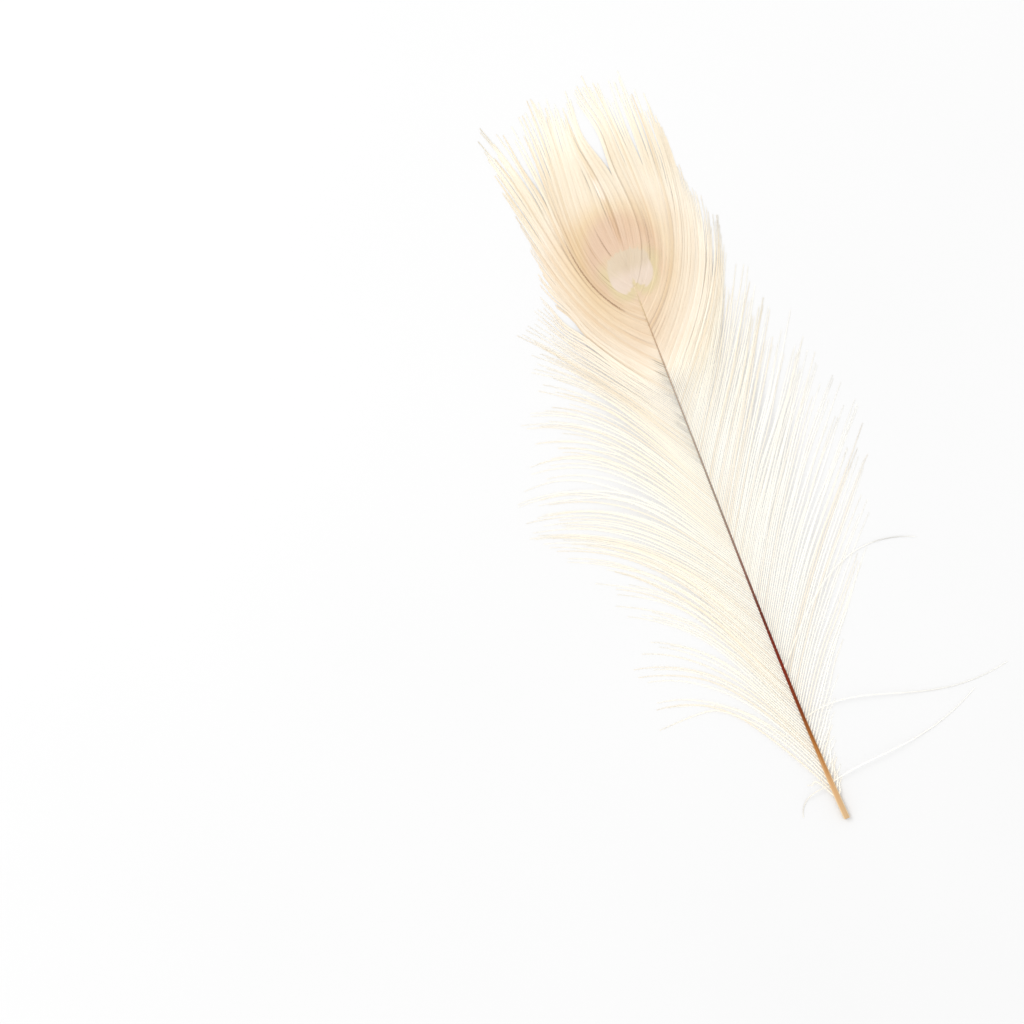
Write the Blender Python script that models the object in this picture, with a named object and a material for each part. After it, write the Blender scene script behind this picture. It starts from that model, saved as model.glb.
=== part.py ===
"""A bleached peacock eye feather, lying on a flat surface with its upper side up.

Metres, +Z up. +Y runs from the cut end of the quill to the crown, and +X is to the right seen from
above. The origin is on the surface, under the middle of the feather's outline.
"""

import math

import bmesh
import bpy
from mathutils import Vector

MM = 0.001

# Where the quill's cut end lies, so that the origin is under the middle of the outline.
QUILL_END = Vector((-2.9, -141.8, 0.0)) * MM

# The shaft: its radius at stations along it, its sideways bow, and its low arch over the surface.
SHAFT_RADII = (
    (0, 1.15),
    (12, 1.1),
    (25, 0.85),
    (40, 0.68),
    (60, 0.58),
    (100, 0.42),
    (150, 0.32),
    (185, 0.25),
    (216, 0.15),
)
SHAFT_END = 216
SHAFT_BOW = 1.47
BOW_SKEW = 0.75  # the bow is widest nearer the quill
SHAFT_ARCH = 5.2
ARCH_FALLS_OFF = 0.35  # how much less it arches towards its tip
SHAFT_TIP_HEIGHT = 1.5
FLAT_REST = 30  # the quill lies flat on the surface up to here
QUILL_STATIONS = (0, 4)

# The shaft's section, in radii from its middle: a rounded top, sides that the barbs grow from, and a
# flat underside.
SECTION = {
    "top": (0.0, 1.0),
    "right_shoulder": (0.72, 0.76),
    "right_upper": (1.0, 0.36),
    "right_lower": (0.98, -0.24),
    "right_foot": (0.55, -1.0),
    "left_foot": (-0.55, -1.0),
    "left_lower": (-0.98, -0.24),
    "left_upper": (-1.0, 0.36),
    "left_shoulder": (-0.72, 0.76),
}
BARB_WALLS = ({"right_upper", "right_lower"}, {"left_upper", "left_lower"})

# Barbs as they grow, in millimetres from the cut end: where one leaves the shaft, its angle to the
# shaft there, where its tip is (outwards, along) and its angle at the tip. Others lie between these.
RIGHT_BARBS = (
    (8, 44, 4.5, 14, 60),
    (20, 36, 7, 29.5, 42),
    (28, 35, 12.5, 44, 40),
    (33, 33, 32, 76, 40),
    (37, 32, 48.4, 95.7, 41),
    (43, 32, 55.9, 110.3, 42),
    (50, 32, 61.1, 124.5, 43),
    (58, 32, 61.1, 135.6, 43),
    (66, 31, 60, 144.7, 43),
    (73, 31, 58.5, 151.7, 43),
    (88, 30, 53.6, 167.3, 35),
    (112, 31, 47.4, 184.1, 33),
    (132, 31, 41, 198.6, 30),
    (146, 34, 38.8, 210.3, 24),
    (160, 38, 37, 220, 17),
    (172, 42, 32, 236, 4),
    (180, 46, 30.5, 258, 1),
    (187, 50, 28.5, 276, 0),
    (194, 52, 20, 283, 2),
    (200, 52, 11, 284, 1),
    (206, 42, 5.5, 283, 0),
    (211, 20, 2.4, 281, 0),
    (214, 3, 0.2, 279, 0),
)
LEFT_BARBS = (
    (8, 26, 10, 16, 80),
    (13, 24, 57, 60, 95),
    (19, 22, 55, 66, 86),
    (27, 26, 52, 77, 80),
    (36, 28, 49, 92, 66),
    (48, 28, 56, 118, 66),
    (62, 29, 65, 130, 72),
    (76, 30, 73, 137, 76),
    (92, 30, 72, 143, 90),
    (106, 31, 67, 160, 95),
    (126, 31, 51, 186, 66),
    (148, 34, 46, 208, 42),
    (160, 37, 36, 215, 28),
    (170, 41, 30, 225, 11),
    (178, 46, 31, 252, 9),
    (185, 50, 33.5, 275, 18),
    (190, 52, 31.5, 284, 22),
    (195, 52, 18, 283, 8),
    (200, 52, 11, 285, 4),
    (206, 42, 5.5, 282, 0),
    (211, 20, 2.4, 281, 0),
    (214, 3, 0.2, 279, 0),
)
LEAVING_PULL = 0.34  # how far each end's direction holds, over the barb's straight length
ARRIVING_PULL = 0.46
BARB_START = 0.9  # in radii of the shaft from its middle
BARB_SEAT = 0.1  # and above its middle
RUFFLE_OUT = ((8, 0), (22, 0.7), (40, 1.8), (145, 1.8), (168, 0))  # the tips' outline waves by this
RUFFLE_OUT_EVERY = 5.3

# Locks: barbs that lie together, fused into one blade with a ridge along its middle.
LOCKS_A_SIDE = 36
FIRST_ROOT, LAST_ROOT = 8, 214
CLOSE_FROM = 150  # beyond this, the locks sit closer together
CLOSENESS = 0.55
LOCK_ROWS = 12
RIDGE_HEIGHT = 0.42
KEEL_DEPTH = 0.16
RIDGE_PROFILE = ((0, 0.35), (0.2, 0.86), (0.38, 1.07), (0.6, 0.88), (0.77, 0.5), (1, 0.55))
WEB_HEIGHT = 0.22  # above the barbs' own level, where two locks still run together
LOCK_SHORTEST = 0.94  # of the full length
TIP_LEVEL = 0.1
LOCK_WAVE = 0.25
LOCK_WIDEST = 2.3  # to one side of its middle
LOCK_FILL = 0.86  # how much of its share of the vane a lock still covers once it stands free
TAPER_FROM = 0.72
TIP_FILL = 0.12
NARROWS_BY = 0.8
SPLIT_LOOSE, SPLIT_CLOSE = 0.22, 0.5  # how far out two neighbours stay joined, below and at the eye
SPLIT_CHANGES_OVER = 30
APART_BELOW, TOGETHER_FROM = 22, 42  # at the quill the locks are apart from the root on

# Barbs that have come away from the vane: side, root, its angle, tip (outwards, along) and its angle.
STRAY_BARBS = (
    (1, 58, 42, 60.5, 85, 115),
    (1, 39, 72, 74.5, 31, 78),
    (1, 14, 76, 60, 26.5, 62),
    (-1, 13, 80, 14.5, 6, 168),
)
STRAY_HALF_WIDTH = 0.45
STRAY_HALF_HEIGHT = 0.3
STRAY_ROWS = 10
STRAY_SEAT = 0.3
STRAY_NARROWS_BY = 0.6
STRAY_LIFT = 1.3  # how far above the vane a stray barb crosses it
STRAY_LIFT_PROFILE = ((0, 0), (0.1, 0.6), (0.2, 0.9), (0.31, 1), (0.43, 0.9), (0.53, 0.6), (0.63, 0))
LOOK_AHEAD = 0.01  # the step that measures which way a barb runs


def smooth(value):
    """An even step from 0 to 1 that starts and ends level."""
    value = min(max(value, 0.0), 1.0)
    return value * value * (3 - 2 * value)


def varied(index, kind):
    """A fixed number from 0 to 1 that differs from one index to the next."""
    return math.sin(12.9898 * index + 78.233 * kind) * 43758.5453 % 1.0


def between(stations, along):
    """The rows of numbers in stations, each keyed by its first number, blended at a place along them."""
    for low, high in zip(stations, stations[1:]):
        if along <= high[0]:
            share = min(max((along - low[0]) / (high[0] - low[0]), 0.0), 1.0)
            return [a + (b - a) * share for a, b in zip(low[1:], high[1:])]
    return list(stations[-1][1:])


def shaft_radius(along):
    return between(SHAFT_RADII, along)[0]


def shaft_side(along):
    """How far the shaft bows to one side of the straight line from its cut end to its tip."""
    return -SHAFT_BOW * math.sin(math.pi * min(along / SHAFT_END, 1.0) ** BOW_SKEW)


def shaft_height(along):
    """The height of the shaft's middle: flat on the surface at the quill, then a low arch."""
    radius = shaft_radius(along)
    share = max(along - FLAT_REST, 0.0) / (SHAFT_END - FLAT_REST)
    arch = SHAFT_ARCH * math.sin(math.pi * share) ** 2 * (1 - ARCH_FALLS_OFF * share)
    return radius + arch + SHAFT_TIP_HEIGHT * smooth(share)


def heading(side, degrees):
    """The direction that leans outwards from the shaft by an angle."""
    angle = math.radians(degrees)
    return Vector((side * math.sin(angle), math.cos(angle)))


def curve_point(start, start_way, end, end_way, share):
    """A point on the smooth curve that leaves start and reaches end in the given directions."""
    reach = (end - start).length
    leaving = start + start_way * reach * LEAVING_PULL
    arriving = end - end_way * reach * ARRIVING_PULL
    rest = 1 - share
    return (
        start * rest**3
        + leaving * 3 * rest**2 * share
        + arriving * 3 * rest * share**2
        + end * share**3
    )


def barb_point(side, root, share):
    """The place, seen from above, at a share of the way along the barb that grows at root."""
    barbs = RIGHT_BARBS if side > 0 else LEFT_BARBS
    leave, tip_out, tip_along, arrive = between(barbs, root)
    tip_out += between(RUFFLE_OUT, root)[0] * math.sin(root / RUFFLE_OUT_EVERY + 2 * side)
    start = Vector((shaft_side(root) + side * shaft_radius(root) * BARB_START, root))
    tip = Vector((side * tip_out, tip_along))
    return curve_point(start, heading(side, leave), tip, heading(side, arrive), share)


def barb_height(root, share, lock):
    """The barbs' level: from the shaft's side down to the surface, with a slight wave of each lock."""
    start = shaft_height(root) + BARB_SEAT * shaft_radius(root)
    wave = LOCK_WAVE * (varied(lock, 3) - 0.5) * math.sin(math.pi * share)
    return start + (TIP_LEVEL - start) * smooth(share) + wave


def root_places():
    """The places along the shaft where one lock ends and the next begins."""
    close = (LAST_ROOT - CLOSE_FROM) / CLOSENESS
    whole = CLOSE_FROM - FIRST_ROOT + close
    places = []
    for index in range(LOCKS_A_SIDE + 1):
        run = whole * index / LOCKS_A_SIDE
        loose = min(run, CLOSE_FROM - FIRST_ROOT)
        places.append(FIRST_ROOT + loose + (run - loose) * CLOSENESS)
    return places


class Surface:
    """The points and faces of one closed mesh, given in millimetres from the quill's cut end."""

    def __init__(self):
        self.points = []
        self.faces = []

    def add(self, out, along, height):
        place = Vector((out, along, max(height, 0.0))) * MM + QUILL_END
        self.points.append(place)
        return len(self.points) - 1

    def face(self, *corners):
        """A face, without the corners that repeat."""
        kept = [c for i, c in enumerate(corners) if c != corners[i - 1]]
        if len(kept) > 2:
            self.faces.append(kept)

    def finished(self, name):
        mesh = bpy.data.meshes.new(name)
        mesh.from_pydata(self.points, [], self.faces)
        shape = bmesh.new()
        shape.from_mesh(mesh)
        bmesh.ops.triangulate(shape, faces=[f for f in shape.faces if len(f.verts) > 3])
        bmesh.ops.recalc_face_normals(shape, faces=shape.faces)
        shape.to_mesh(mesh)
        shape.free()
        mesh.shade_smooth()
        mesh.set_sharp_from_angle(angle=math.radians(50))
        made = bpy.data.objects.new(name, mesh)
        bpy.context.scene.collection.objects.link(made)
        return made


def shaft_ring(surface, along):
    """The points of one section of the shaft."""
    radius, side, height = shaft_radius(along), shaft_side(along), shaft_height(along)
    return {
        name: surface.add(side + out * radius, along, height + up * radius)
        for name, (out, up) in SECTION.items()
    }


def join_rings(surface, low, high, with_sides):
    """The shaft's faces between two sections, with or without the walls where the barbs grow."""
    names = list(low)
    for index, name in enumerate(names):
        following = names[(index + 1) % len(names)]
        if with_sides or {name, following} not in BARB_WALLS:
            surface.face(low[name], low[following], high[following], high[name])


def split_row(root):
    """The row at which two neighbouring locks part."""
    closer = smooth((root - CLOSE_FROM) / SPLIT_CHANGES_OVER)
    share = SPLIT_LOOSE + (SPLIT_CLOSE - SPLIT_LOOSE) * closer
    together = smooth((root - APART_BELOW) / (TOGETHER_FROM - APART_BELOW))
    return round(LOCK_ROWS * share * together)


def lock_length(side, lock):
    return 1 - (1 - LOCK_SHORTEST) * varied(lock, 1 + side)


def web_edge(surface, side, root, lock, root_corners):
    """The pairs of points, upper and lower, along which a lock and the next run together."""
    pairs = [root_corners]
    for row in range(1, split_row(root) + 1):
        share = row / LOCK_ROWS
        out, along = barb_point(side, root, share)
        level = barb_height(root, share, lock)
        pairs.append(
            (
                surface.add(out, along, level + WEB_HEIGHT),
                surface.add(out, along, level),
            )
        )
    return pairs


def free_edge(surface, side, middle, reach, lock, first_row):
    """The single points along a lock's edge from the row after it parts from its neighbour."""
    length = lock_length(side, lock)
    points = {}
    for row in range(first_row, LOCK_ROWS):
        share = row / LOCK_ROWS
        taper = smooth((1 - share) / (1 - TAPER_FROM))
        width = TIP_FILL + (LOCK_FILL - TIP_FILL) * taper
        centre = barb_point(side, middle, share * length)
        offset = barb_point(side, middle + reach * width, share * length) - centre
        widest = LOCK_WIDEST * (1 - NARROWS_BY * share**4)
        if offset.length > widest:
            offset *= widest / offset.length
        out, along = centre + offset
        points[row] = surface.add(out, along, barb_height(middle, share, lock))
    return points


def ridge_and_keel(surface, side, middle, lock, ring):
    """The raised line along a lock's upper side and the low one along its underside."""
    name = "right" if side > 0 else "left"
    length = lock_length(side, lock)
    lines = [[ring[name + "_upper"]], [ring[name + "_lower"]]]
    for row in range(1, LOCK_ROWS):
        share = row / LOCK_ROWS
        out, along = barb_point(side, middle, share * length)
        level = barb_height(middle, share, lock)
        thick = between(RIDGE_PROFILE, share)[0]
        lines[0].append(surface.add(out, along, level + RIDGE_HEIGHT * thick))
        lines[1].append(surface.add(out, along, level - KEEL_DEPTH * thick))
    out, along = barb_point(side, middle, length)
    tip = surface.add(out, along, TIP_LEVEL)
    return lines[0] + [tip], lines[1] + [tip]


def half_lock(surface, ridge, keel, web, free):
    """The faces on one side of a lock's middle line, above, below and where it parts from the next."""
    tip = ridge[-1]
    upper = [pair[0] for pair in web] + [free[row] for row in sorted(free)] + [tip]
    lower = [pair[1] for pair in web] + [free[row] for row in sorted(free)] + [tip]
    for row in range(LOCK_ROWS):
        surface.face(upper[row], upper[row + 1], ridge[row + 1], ridge[row])
        surface.face(keel[row], keel[row + 1], lower[row + 1], lower[row])
    surface.face(web[-1][0], web[-1][1], free[len(web)])


def add_vane(surface, side, places, edge_rings, middle_rings):
    """Every lock on one side of the shaft, joined to it and to its neighbours near their roots."""
    name = "right" if side > 0 else "left"
    last = len(places) - 1
    webs = []
    for index, (root, ring) in enumerate(zip(places, edge_rings)):
        corners = (ring[name + "_upper"], ring[name + "_lower"])
        between_locks = 0 < index < last
        webs.append(web_edge(surface, side, root, index, corners) if between_locks else [corners])
    for lock in range(last):
        low, high = places[lock], places[lock + 1]
        middle, reach = (low + high) / 2, (high - low) / 2
        ridge, keel = ridge_and_keel(surface, side, middle, lock, middle_rings[lock])
        for web, way in ((webs[lock], -1), (webs[lock + 1], 1)):
            free = free_edge(surface, side, middle, way * reach, lock, len(web))
            half_lock(surface, ridge, keel, web, free)


def make_feather():
    """The shaft and both vanes as one closed surface."""
    surface = Surface()
    places = root_places()
    quill = [shaft_ring(surface, along) for along in QUILL_STATIONS]
    edges = [shaft_ring(surface, root) for root in places]
    middles = [shaft_ring(surface, (a + b) / 2) for a, b in zip(places, places[1:])]
    surface.face(*quill[0].values())
    for low, high in zip(quill, quill[1:] + edges[:1]):
        join_rings(surface, low, high, True)
    for index, middle in enumerate(middles):
        join_rings(surface, edges[index], middle, False)
        join_rings(surface, middle, edges[index + 1], False)
    point = surface.add(shaft_side(SHAFT_END), SHAFT_END, shaft_height(SHAFT_END))
    names = list(edges[-1])
    for name, following in zip(names, names[1:] + names[:1]):
        surface.face(edges[-1][name], edges[-1][following], point)
    for side in (1, -1):
        add_vane(surface, side, places, edges, middles)
    return surface.finished("feather")


def make_stray(number, side, root, leave, tip_out, tip_along, arrive):
    """One loose barb: a slender blade that crosses over the vane and comes down to the surface."""
    surface = Surface()
    start = Vector((shaft_side(root), root))
    tip = Vector((side * tip_out, tip_along))
    ways = (heading(side, leave), heading(side, arrive))
    root_height = shaft_height(root) + STRAY_SEAT * shaft_radius(root)
    rings = []
    for row in range(STRAY_ROWS):
        share = row / STRAY_ROWS
        place = curve_point(start, ways[0], tip, ways[1], share)
        way = (curve_point(start, ways[0], tip, ways[1], share + LOOK_AHEAD) - place).normalized()
        across = Vector((-way.y, way.x)) * STRAY_HALF_WIDTH * (1 - STRAY_NARROWS_BY * share)
        lift = STRAY_LIFT * between(STRAY_LIFT_PROFILE, share)[0]
        level = root_height + (STRAY_HALF_HEIGHT - root_height) * smooth(share) + lift
        rings.append(
            [
                surface.add(*(place + across), level),
                surface.add(*place, level + STRAY_HALF_HEIGHT),
                surface.add(*(place - across), level),
                surface.add(*place, level - STRAY_HALF_HEIGHT),
            ]
        )
    end = surface.add(*tip, STRAY_HALF_HEIGHT)
    surface.face(*rings[0])
    for low, high in zip(rings, rings[1:]):
        for corner in range(4):
            following = (corner + 1) % 4
            surface.face(low[corner], low[following], high[following], high[corner])
    for corner in range(4):
        surface.face(rings[-1][corner], rings[-1][(corner + 1) % 4], end)
    stray = surface.finished(f"stray_barb_{number}")
    stray.hide_render = True
    stray.display_type = "WIRE"
    return stray


def fuse(body, piece):
    joined = body.modifiers.new(piece.name, "BOOLEAN")
    joined.operation = "UNION"
    joined.object = piece


def feather_material():
    """Bleached barbs: cream, dull and slightly rough."""
    material = bpy.data.materials.new("bleached_barbs")
    material.use_nodes = True
    shader = material.node_tree.nodes["Principled BSDF"]
    shader.inputs["Base Color"].default_value = (0.90, 0.80, 0.63, 1.0)
    shader.inputs["Roughness"].default_value = 0.62
    shader.inputs["Metallic"].default_value = 0.0
    return material


def clear_scene():
    for item in list(bpy.data.objects):
        bpy.data.objects.remove(item, do_unlink=True)


def main():
    clear_scene()
    feather = make_feather()
    feather.data.materials.append(feather_material())
    for number, stray in enumerate(STRAY_BARBS, start=1):
        fuse(feather, make_stray(number, *stray))


main()
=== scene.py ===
"""One bleached peacock eye feather on a pale floor, seen from straight above.

The feather's own plan is in millimetres from the quill's cut end: out to the right of the shaft, and
along towards the crown. Batch.finished puts it in the row's frame, in metres.
"""

import math

import bpy
import numpy as np
from mathutils import Matrix, Vector


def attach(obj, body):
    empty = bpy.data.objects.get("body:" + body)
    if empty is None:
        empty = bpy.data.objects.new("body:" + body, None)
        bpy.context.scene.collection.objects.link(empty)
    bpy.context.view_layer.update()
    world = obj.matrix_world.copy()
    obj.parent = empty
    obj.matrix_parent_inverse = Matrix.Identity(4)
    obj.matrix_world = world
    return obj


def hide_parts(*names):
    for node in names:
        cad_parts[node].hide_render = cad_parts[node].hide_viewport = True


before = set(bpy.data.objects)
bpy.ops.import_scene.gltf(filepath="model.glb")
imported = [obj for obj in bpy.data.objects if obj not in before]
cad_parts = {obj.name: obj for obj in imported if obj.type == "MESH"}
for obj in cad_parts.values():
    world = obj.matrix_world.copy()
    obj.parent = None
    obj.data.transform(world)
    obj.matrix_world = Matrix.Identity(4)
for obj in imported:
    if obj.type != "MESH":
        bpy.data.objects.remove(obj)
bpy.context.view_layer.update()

MM = 0.001
QUILL_END = (-2.9, -141.8)  # millimetres in the row's frame

# The photograph: its scale, and the pixels of the quill's cut end and of the top of the bare shaft.
PHOTO_SIDE = 1024
MM_PER_PIXEL = 0.36
QUILL_PIXEL = (847, 818)
NOTCH_PIXEL = (633, 283)
CAMERA_HEIGHT = 1.6
SENSOR_MM = 36

# The shaft, as the solid has it: (along, radius), its bow sideways and its arch.
SHAFT_RADII = (
    (0, 1.15),
    (12, 1.1),
    (25, 0.85),
    (40, 0.68),
    (60, 0.58),
    (100, 0.42),
    (150, 0.32),
    (185, 0.25),
    (216, 0.15),
)
SHAFT_END = 216
SHAFT_RINGS, SHAFT_AROUND = 260, 28
SHAFT_FLAT_BELOW = 0.55  # where its underside flattens, as a share of its radius
SHAFT_FLAT_SLOPE = 0.15
SHAFT_DEPTH = 0.62
QUILL_BEVEL = ((0, 0.86), (1, 0.95))  # ring, share of the radius
QUILL_DISH = 0.12
SHAFT_BOW = 1.47
BOW_SKEW = 0.75
SHAFT_ARCH = 5.2
ARCH_FALLS_OFF = 0.35
SHAFT_TIP_HEIGHT = 1.5
FLAT_REST = 30

# Barbs: root, leaving angle, tip outwards, tip along, arriving angle. Others lie between these.
RIGHT_BARBS = (
    (8, 44, 4.5, 14, 60),
    (20, 36, 7, 29.5, 42),
    (28, 35, 12.5, 44, 40),
    (33, 33, 32, 76, 40),
    (37, 32, 48.4, 95.7, 41),
    (43, 32, 55.9, 110.3, 42),
    (50, 32, 61.1, 124.5, 43),
    (58, 32, 61.1, 135.6, 43),
    (66, 31, 60, 144.7, 43),
    (73, 31, 58.5, 151.7, 43),
    (88, 30, 53.6, 167.3, 35),
    (112, 31, 47.4, 184.1, 33),
    (132, 31, 41, 198.6, 30),
    (146, 34, 38.8, 210.3, 24),
    (160, 38, 37, 220, 17),
    (172, 42, 32, 236, 4),
    (180, 46, 30.5, 258, 1),
    (187, 50, 28.5, 276, 0),
    (194, 52, 20, 283, 2),
    (200, 52, 11, 284, 1),
    (206, 42, 5.5, 283, 0),
    (211, 20, 2.4, 281, 0),
    (214, 3, 0.2, 279, 0),
)
LEFT_BARBS = (
    (8, 26, 10, 16, 80),
    (13, 24, 57, 60, 95),
    (19, 22, 55, 66, 86),
    (27, 26, 52, 77, 80),
    (36, 28, 49, 92, 66),
    (48, 28, 56, 118, 66),
    (62, 29, 65, 130, 72),
    (76, 30, 73, 137, 76),
    (92, 30, 72, 143, 90),
    (106, 31, 67, 160, 95),
    (126, 31, 51, 186, 66),
    (148, 34, 46, 208, 42),
    (160, 37, 36, 215, 28),
    (170, 41, 30, 225, 11),
    (178, 46, 31, 252, 9),
    (185, 50, 33.5, 275, 18),
    (190, 52, 31.5, 284, 22),
    (195, 52, 18, 283, 8),
    (200, 52, 11, 285, 4),
    (206, 42, 5.5, 282, 0),
    (211, 20, 2.4, 281, 0),
    (214, 3, 0.2, 279, 0),
)
LEAVING_PULL = 0.34
ARRIVING_PULL = 0.46
BARB_START = 0.9
BARB_SEAT = 0.1
EYE_RUN = 25  # the stretch above CLOSE_FROM over which the barbs change to the eye's
UPPER_FROM, UPPER_RUN = 100, 40
RUFFLE_OUT = ((8, 0), (22, 0.7), (40, 1.8), (145, 1.8), (168, 0))
RUFFLE_OUT_EVERY = 5.3

# Locks, as the solid has them.
LOCKS_A_SIDE = 36
FIRST_ROOT, LAST_ROOT = 8, 214
CLOSE_FROM = 150
CLOSENESS = 0.55
LOCK_SHORTEST = 0.94
TIP_LEVEL = 0.1
LOCK_WAVE = 0.25

# Barbs that have come away: side, root, leaving angle, tip outwards, tip along, arriving angle, and
# how stained they are: near the root, further out, and the share of the way where that changes.
STRAY_BARBS = (
    (1, 58, 42, 60.5, 85, 115, (0.08, 0.62, 0.76)),
    (1, 39, 72, 74.5, 31, 78, (0.12, 0.22, 0.5)),
    (1, 14, 76, 60, 26.5, 62, (0.06, 0.12, 0.5)),
    (-1, 13, 80, 14.5, 6, 168, (0.2, 0.3, 0.5)),
)
STRAY_SEAT = 0.3
STRAY_LIFT = 1.3
STRAY_LIFT_PROFILE = ((0, 0), (0.1, 0.6), (0.2, 0.9), (0.31, 1), (0.43, 0.9), (0.53, 0.6), (0.63, 0))

# Barbs that show as a brown line in the eye: side, root and strength. The darkest rise over their
# neighbours, so that they show in full.
DARK_BARBS = (
    (-1, 177.5, 0.25),
    (-1, 183.6, 0.45),
    (-1, 190.5, 0.4),
    (-1, 193.4, 1.0),
    (-1, 200.2, 0.65),
    (-1, 201.8, 0.55),
    (-1, 210.0, 0.7),
    (1, 185.4, 0.4),
    (1, 187.4, 0.4),
    (1, 189.6, 0.4),
    (1, 191.6, 0.4),
    (1, 202.0, 0.55),
)
DARK_LIFT = 0.2
DARK_LIFT_FROM = 0.6

# Tips that kept an olive-grey stain: their middle (out, along), its reach and strength.
STAINED_TIPS = (
    ((58.0, 127.0), 5.0, 0.3),
    ((54.5, 150.0), 5.0, 0.28),
    ((51.0, 119.0), 4.0, 0.2),
    ((39.0, 217.0), 6.0, 0.25),
    ((-29.0, 279.0), 6.0, 0.5),
    ((-33.0, 273.0), 4.0, 0.45),
    ((-14.0, 284.0), 4.0, 0.35),
    ((-41.0, 208.0), 2.0, 0.2),
    ((-36.0, 221.0), 2.0, 0.2),
)
TIP_STAIN = 0.16

# The stretch of the left side whose barbs are grey-brown at the root, and how far up them.
STAINED_ROOTS = (134, 178)
ROOT_STAIN = 0.7
ROOT_STAIN_REACH = (0.04, 0.12)

# Holes that the barbs part around, in the crown and beside the eye: middle (out, along), how far
# they part, over what run. Where the part is less than nothing, they draw together instead.
PARTINGS = (
    ((-2.1, 248.0), -0.3, 7.0),
    ((26.3, 242.0), -0.3, 8.0),
    ((5.6, 263.0), 2.6, 12.0),
    ((-21.0, 262.0), 0.6, 13.0),
    ((19.5, 258.0), 0.5, 12.0),
    ((-27.0, 203.0), 1.5, 9.0),
)

# Fine structure, in millimetres. BARBS_A_LOCK is keyed by how far along the shaft the lock grows.
BARBS_A_LOCK = ((8, 3), (32, 4), (60, 5), (110, 6), (148, 6), (153, 4), (176, 4), (184, 6))
BARB_STEPS = 30
BARBULE_GAP_LOOSE, BARBULE_GAP_CLOSE = 0.24, 0.18
RAMUS_HALF_WIDTH = 0.07
RAMUS_HEIGHT = 0.1
WEB_LOOSE = 0.15
WEB_CROWN = 0.68
WEB_CLOSE = 0.62
WEB_TAPER = 0.75
WEB_STATIONS = (-1.0, -0.5, 0.0, 0.5, 1.0)
WEB_DROPS = (-0.10, -0.02, 0.02, -0.02, -0.06)
STRAY_WEB = 0.16
STRAY_STEM = 1.5
STRAY_BARBULE = 0.7
BARBULE_LOOSE = 1.3
BARBULE_CROWN = 0.8
BARBULE_CLOSE = 0.9
BARBULE_LENGTHS = (0.6, 1.15)
BARBULE_LEAN = (42, 9)  # degrees off the stem: the mean and its spread
BARBULE_TIP_WIDTH = 0.25
BARBULE_STAIN_FROM = 0.14
FLOOR_GAP = 0.03
TIP_COVER = 0.35  # how far the eye's last barbs rise over the shaft's tip
TIP_COVER_FROM, TIP_COVER_RUN = 203, 5
CROWN_FROM, CROWN_RUN = 232, 20

# How the barbs of a lock differ: how much shorter its shorter ones are, how far they draw together
# towards its middle, wander and sway, and how far whole locks lean.
TIPS_UNEVEN, TIPS_EVENER_IN_EYE = 0.14, 0.05
DRAW_LEAST, DRAW_SPREAD = 0.05, 0.5
DRAW_FROM, DRAW_FROM_IN_EYE = 0.25, 0.35
SIDE_DRAW = {1: 0.5, -1: 1.0}
SIDE_WANDER = {1: 0.4, -1: 0.9}
LOCK_LEAN = 1.8
HEIGHT_SPREAD = 0.12
SWAY_REACH = (0.1, 0.5)
SWAY_WAVES = (0.8, 2.4)

# What varied is asked for, so that each of these differs from lock to lock in its own way.
LENGTH_KIND, WAVE_KIND, DRAW_KIND, LEAN_KIND, TONE_KIND = 1, 3, 7, 11, 17

# The eye: the middle and half axes of its rings.
EYE_CENTRE = (0.5, 217.0)
EYE_REACH = (15.5, 19.0)
CLOSE_REACH = (17.0, 25.0, 23.0)  # how far the barbs hold together: sideways, below and above
RINGS_END = 4  # the reach at the end of the ramps below
RING_UNEVEN = 0.6

# The eye's colours from its middle outwards, on either side of the shaft: place, colour on screen.
LEFT_RINGS = (
    (0.0, (223, 196, 172)),
    (0.19, (223, 197, 172)),
    (0.26, (229, 207, 172)),
    (0.33, (233, 215, 187)),
    (0.45, (240, 229, 212)),
    (0.62, (250, 243, 229)),
    (1.0, (255, 250, 237)),
)
RIGHT_RINGS = (
    (0.0, (223, 196, 172)),
    (0.19, (226, 201, 174)),
    (0.26, (233, 216, 188)),
    (0.33, (236, 223, 202)),
    (0.45, (244, 236, 221)),
    (0.62, (251, 247, 235)),
    (1.0, (255, 253, 246)),
)
CROWN_FOOT = (238, 228, 209)
CROWN_TOP = (250, 244, 230)
PALE_PATCH = (248, 242, 233)
PALE_PATCH_OVAL = ((1.2, 243.5), (1.8, 6.0))
WARM = (231, 211, 185)

# Where these start and where they are full, in plan: out from the shaft for SIDES_BLEND and
# WARM_INWARDS, and otherwise along it.
SIDES_BLEND = (-4, 8)
CROWN_FOOT_RUN = (231, 246)
CROWN_TOP_RUN = (250, 272)
WARM_STARTS, WARM_ENDS, WARM_INWARDS = (168, 195), (212, 200), (18, 0)

# The pale heart is three ovals in one: middle, half axes. Its edge and its olive rim are shares of
# their reach.
HEART_LEFT = ((-3.5, 211.2), (4.0, 6.4))
HEART_RIGHT = ((4.4, 211.3), (4.2, 6.4))
HEART_DOME = ((0.8, 214.5), (7.9, 5.3))
HEART_TOP = (219, 203, 180)
HEART_LOBES = (227, 211, 195)
OLIVE = (220, 205, 166)
HEART_EDGE = (1.09, 0.93)
LOBES_RUN = (214.5, 209.5)
OLIVE_EDGE = (1.75, 1.2)
OLIVE_RUN = (222, 212)

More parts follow.
